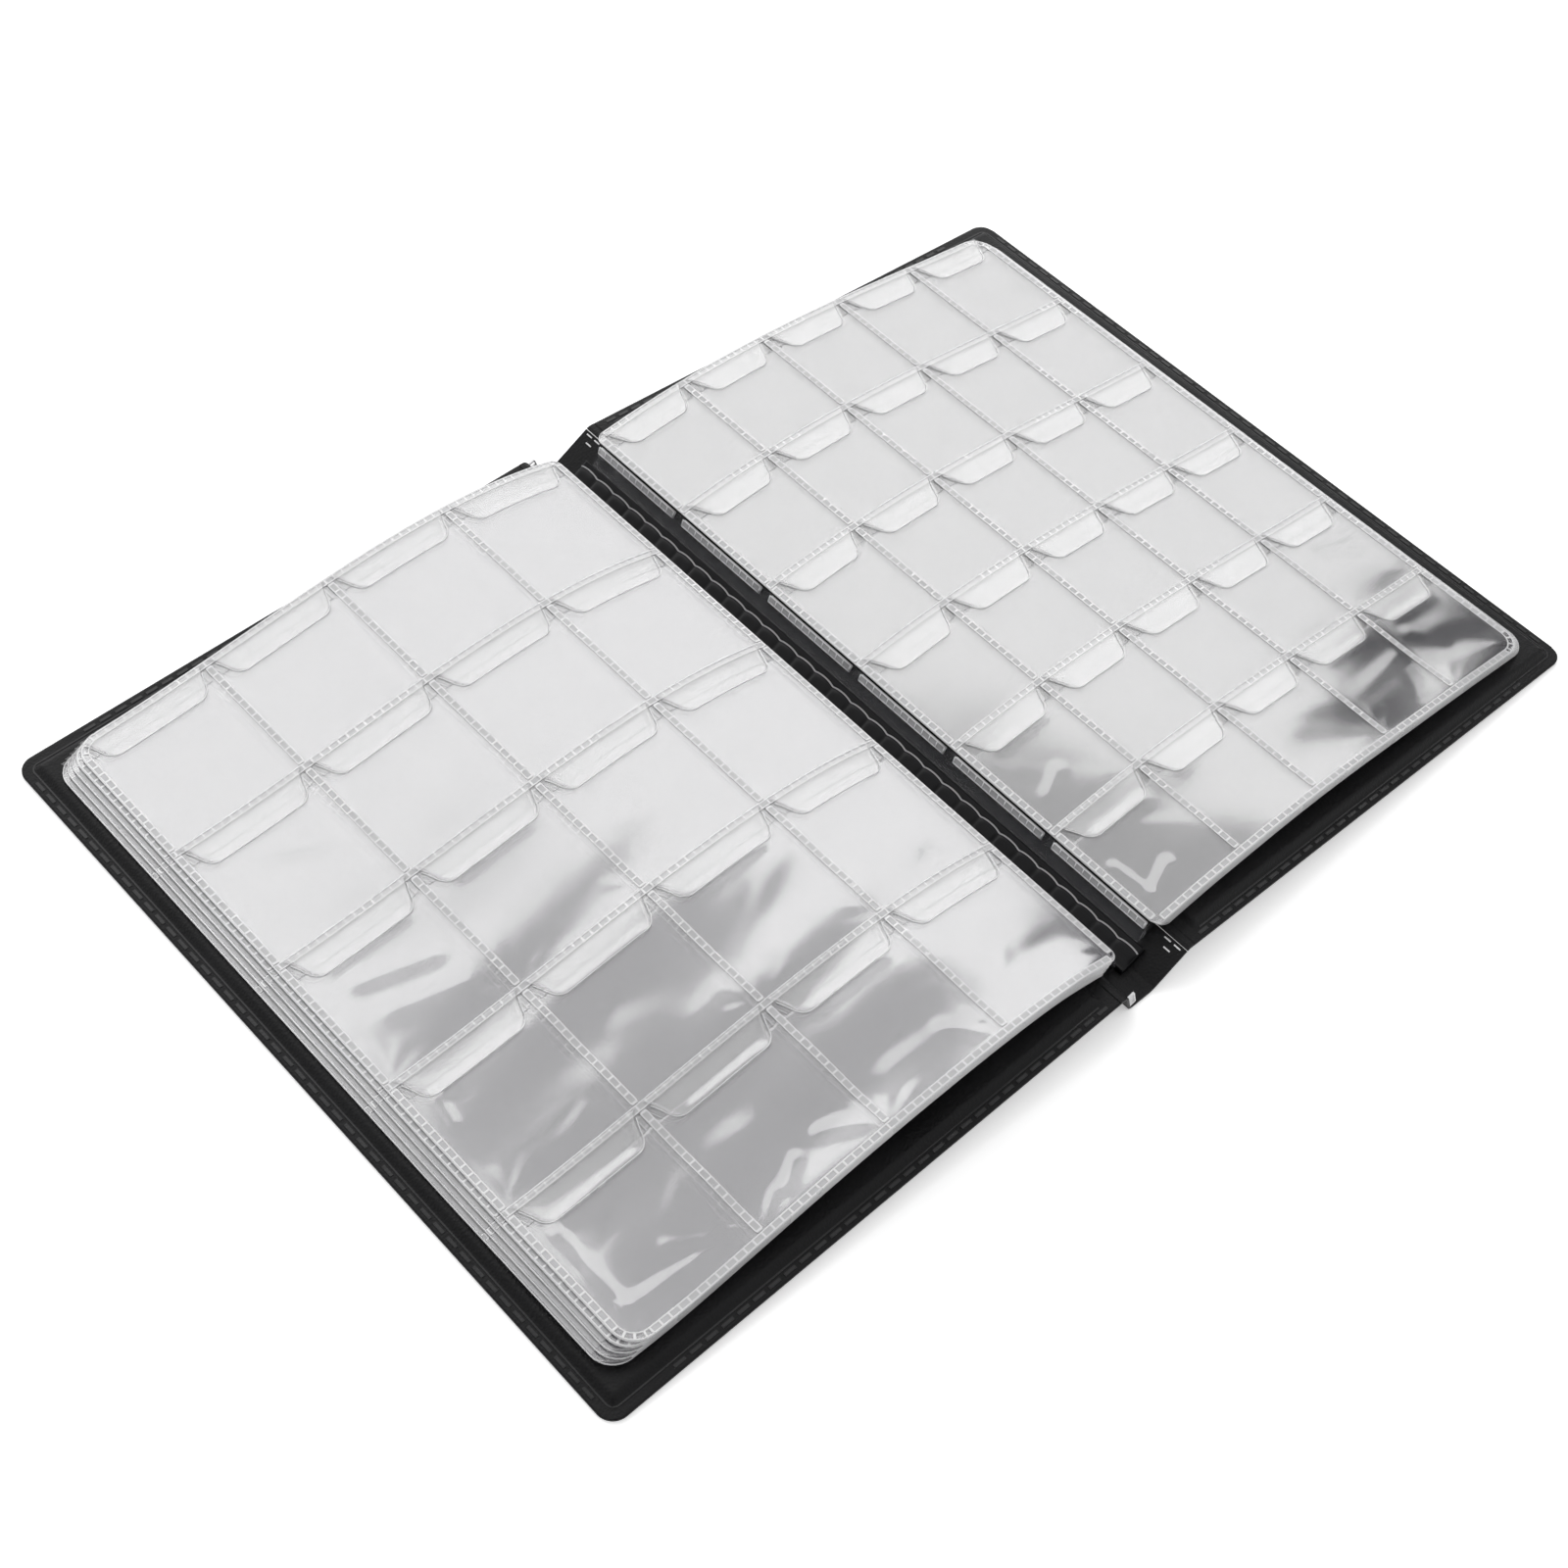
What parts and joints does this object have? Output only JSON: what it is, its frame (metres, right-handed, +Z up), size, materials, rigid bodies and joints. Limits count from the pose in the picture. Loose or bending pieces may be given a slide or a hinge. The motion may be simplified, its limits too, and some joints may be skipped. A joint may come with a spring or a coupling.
{
  "type": "coin album",
  "caption": "Black vinyl-covered coin album lying open, with hinged board covers and welded clear pocket leaves that turn about a folded spine.",
  "frame": {"origin": "centre of the footprint, on the table plane: mid-width of the open album, mid-height of the spine", "axes": "+X across the open album to the right-hand cover, +Y along the spine towards the page tops, +Z up"},
  "size_m": [0.3748, 0.245, 0.0175],
  "materials": {
    "cover_skin": "satin black embossed vinyl",
    "cover_lining": "fine-grained black vinyl",
    "rim_weld": "pressed black vinyl weld",
    "binding_gloss": "glossy welded vinyl",
    "grey_board": "plain grey board",
    "clear_film": "clear glossy vinyl film",
    "pocket_film": "clear glossy vinyl film with pressed welds",
    "flap_film": "clear glossy vinyl film"
  },
  "bodies": {
    "spine": {"spine_skin": "cover_skin", "spine_liner": "cover_lining", "left_hinge_web": "cover_skin", "right_hinge_web": "cover_skin", "binding_strip": "binding_gloss", "binding_weld_cells": "binding_gloss", "left_leaf_1_margin": "clear_film", "left_leaf_2_margin": "clear_film", "left_leaf_3_margin": "clear_film", "left_leaf_4_margin": "clear_film", "left_leaf_5_margin": "clear_film", "right_leaf_1_margin": "clear_film", "right_leaf_2_margin": "clear_film", "right_leaf_3_margin": "clear_film", "right_leaf_4_margin": "clear_film", "right_leaf_5_margin": "clear_film"},
    "left_cover": {"left_cover_skin": "cover_skin", "left_cover_board": "grey_board", "left_cover_liner": "cover_lining", "left_cover_rim_weld": "rim_weld"},
    "right_cover": {"right_cover_skin": "cover_skin", "right_cover_board": "grey_board", "right_cover_liner": "cover_lining", "right_cover_rim_weld": "rim_weld"},
    "left_leaf_1": {"left_leaf_1_back_film": "clear_film", "left_leaf_1_pocket_film": "pocket_film", "left_leaf_1_flaps": "flap_film"},
    "left_leaf_2": {"left_leaf_2_back_film": "clear_film", "left_leaf_2_pocket_film": "pocket_film", "left_leaf_2_flaps": "flap_film"},
    "left_leaf_3": {"left_leaf_3_back_film": "clear_film", "left_leaf_3_pocket_film": "pocket_film", "left_leaf_3_flaps": "flap_film"},
    "left_leaf_4": {"left_leaf_4_back_film": "clear_film", "left_leaf_4_pocket_film": "pocket_film", "left_leaf_4_flaps": "flap_film"},
    "left_leaf_5": {"left_leaf_5_back_film": "clear_film", "left_leaf_5_pocket_film": "pocket_film", "left_leaf_5_flaps": "flap_film"},
    "right_leaf_1": {"right_leaf_1_back_film": "clear_film", "right_leaf_1_pocket_film": "pocket_film", "right_leaf_1_flaps": "flap_film"},
    "right_leaf_2": {"right_leaf_2_back_film": "clear_film", "right_leaf_2_pocket_film": "pocket_film", "right_leaf_2_flaps": "flap_film"},
    "right_leaf_3": {"right_leaf_3_back_film": "clear_film", "right_leaf_3_pocket_film": "pocket_film", "right_leaf_3_flaps": "flap_film"},
    "right_leaf_4": {"right_leaf_4_back_film": "clear_film", "right_leaf_4_pocket_film": "pocket_film", "right_leaf_4_flaps": "flap_film"},
    "right_leaf_5": {"right_leaf_5_back_film": "clear_film", "right_leaf_5_pocket_film": "pocket_film", "right_leaf_5_flaps": "flap_film"}
  },
  "joints": [
    {"name": "left_cover_hinge", "type": "hinge", "parent": "spine", "child": "left_cover", "pos_m": [-0.013, 0, 0.0084], "axis": [0, -1, 0], "range_deg": [-92.6, 0], "deforming": ["left_hinge_web"]},
    {"name": "left_leaf_5_turn", "type": "hinge", "parent": "spine", "child": "left_leaf_5", "pos_m": [-0.0075, 0, 0.0126], "axis": [0, -1, 0], "range_deg": [-92.6, 0], "deforming": ["left_leaf_1_margin", "left_leaf_2_margin", "left_leaf_3_margin", "left_leaf_4_margin", "left_leaf_5_margin"]},
    {"name": "left_leaf_4_turn", "type": "hinge", "parent": "left_leaf_5", "child": "left_leaf_4", "pos_m": [-0.0099, 0, 0.01091], "axis": [0, 1, 0], "range_deg": [0, 8], "deforming": ["left_leaf_1_margin", "left_leaf_2_margin", "left_leaf_3_margin", "left_leaf_4_margin"]},
    {"name": "left_leaf_3_turn", "type": "hinge", "parent": "left_leaf_4", "child": "left_leaf_3", "pos_m": [-0.0091, 0, 0.01187], "axis": [0, 1, 0], "range_deg": [0, 8], "deforming": ["left_leaf_1_margin", "left_leaf_2_margin", "left_leaf_3_margin"]},
    {"name": "left_leaf_2_turn", "type": "hinge", "parent": "left_leaf_3", "child": "left_leaf_2", "pos_m": [-0.0083, 0, 0.01282], "axis": [0, 1, 0], "range_deg": [0, 12], "deforming": ["left_leaf_1_margin", "left_leaf_2_margin"]},
    {"name": "left_leaf_1_turn", "type": "hinge", "parent": "left_leaf_2", "child": "left_leaf_1", "pos_m": [-0.0075, 0, 0.01376], "axis": [0, 1, 0], "range_deg": [0, 100], "deforming": ["left_leaf_1_margin"]},
    {"name": "right_cover_hinge", "type": "hinge", "parent": "spine", "child": "right_cover", "pos_m": [0.013, 0, 0.0084], "axis": [0, 1, 0], "range_deg": [-92.6, 0], "deforming": ["right_hinge_web"]},
    {"name": "right_leaf_5_turn", "type": "hinge", "parent": "spine", "child": "right_leaf_5", "pos_m": [0.0075, 0, 0.0126], "axis": [0, 1, 0], "range_deg": [-92.6, 0], "deforming": ["right_leaf_1_margin", "right_leaf_2_margin", "right_leaf_3_margin", "right_leaf_4_margin", "right_leaf_5_margin"]},
    {"name": "right_leaf_4_turn", "type": "hinge", "parent": "right_leaf_5", "child": "right_leaf_4", "pos_m": [0.0099, 0, 0.01091], "axis": [0, -1, 0], "range_deg": [0, 6], "deforming": ["right_leaf_1_margin", "right_leaf_2_margin", "right_leaf_3_margin", "right_leaf_4_margin"]},
    {"name": "right_leaf_3_turn", "type": "hinge", "parent": "right_leaf_4", "child": "right_leaf_3", "pos_m": [0.0091, 0, 0.01187], "axis": [0, -1, 0], "range_deg": [0, 6], "deforming": ["right_leaf_1_margin", "right_leaf_2_margin", "right_leaf_3_margin"]},
    {"name": "right_leaf_2_turn", "type": "hinge", "parent": "right_leaf_3", "child": "right_leaf_2", "pos_m": [0.0083, 0, 0.01282], "axis": [0, -1, 0], "range_deg": [0, 8], "deforming": ["right_leaf_1_margin", "right_leaf_2_margin"]},
    {"name": "right_leaf_1_turn", "type": "hinge", "parent": "right_leaf_2", "child": "right_leaf_1", "pos_m": [0.0075, 0, 0.01376], "axis": [0, -1, 0], "range_deg": [0, 14], "deforming": ["right_leaf_1_margin"]}
  ],
  "couplings": [
    {"joint": "left_leaf_5_turn", "follows": "left_cover_hinge", "ratio": 1},
    {"joint": "right_leaf_5_turn", "follows": "right_cover_hinge", "ratio": 1}
  ]
}
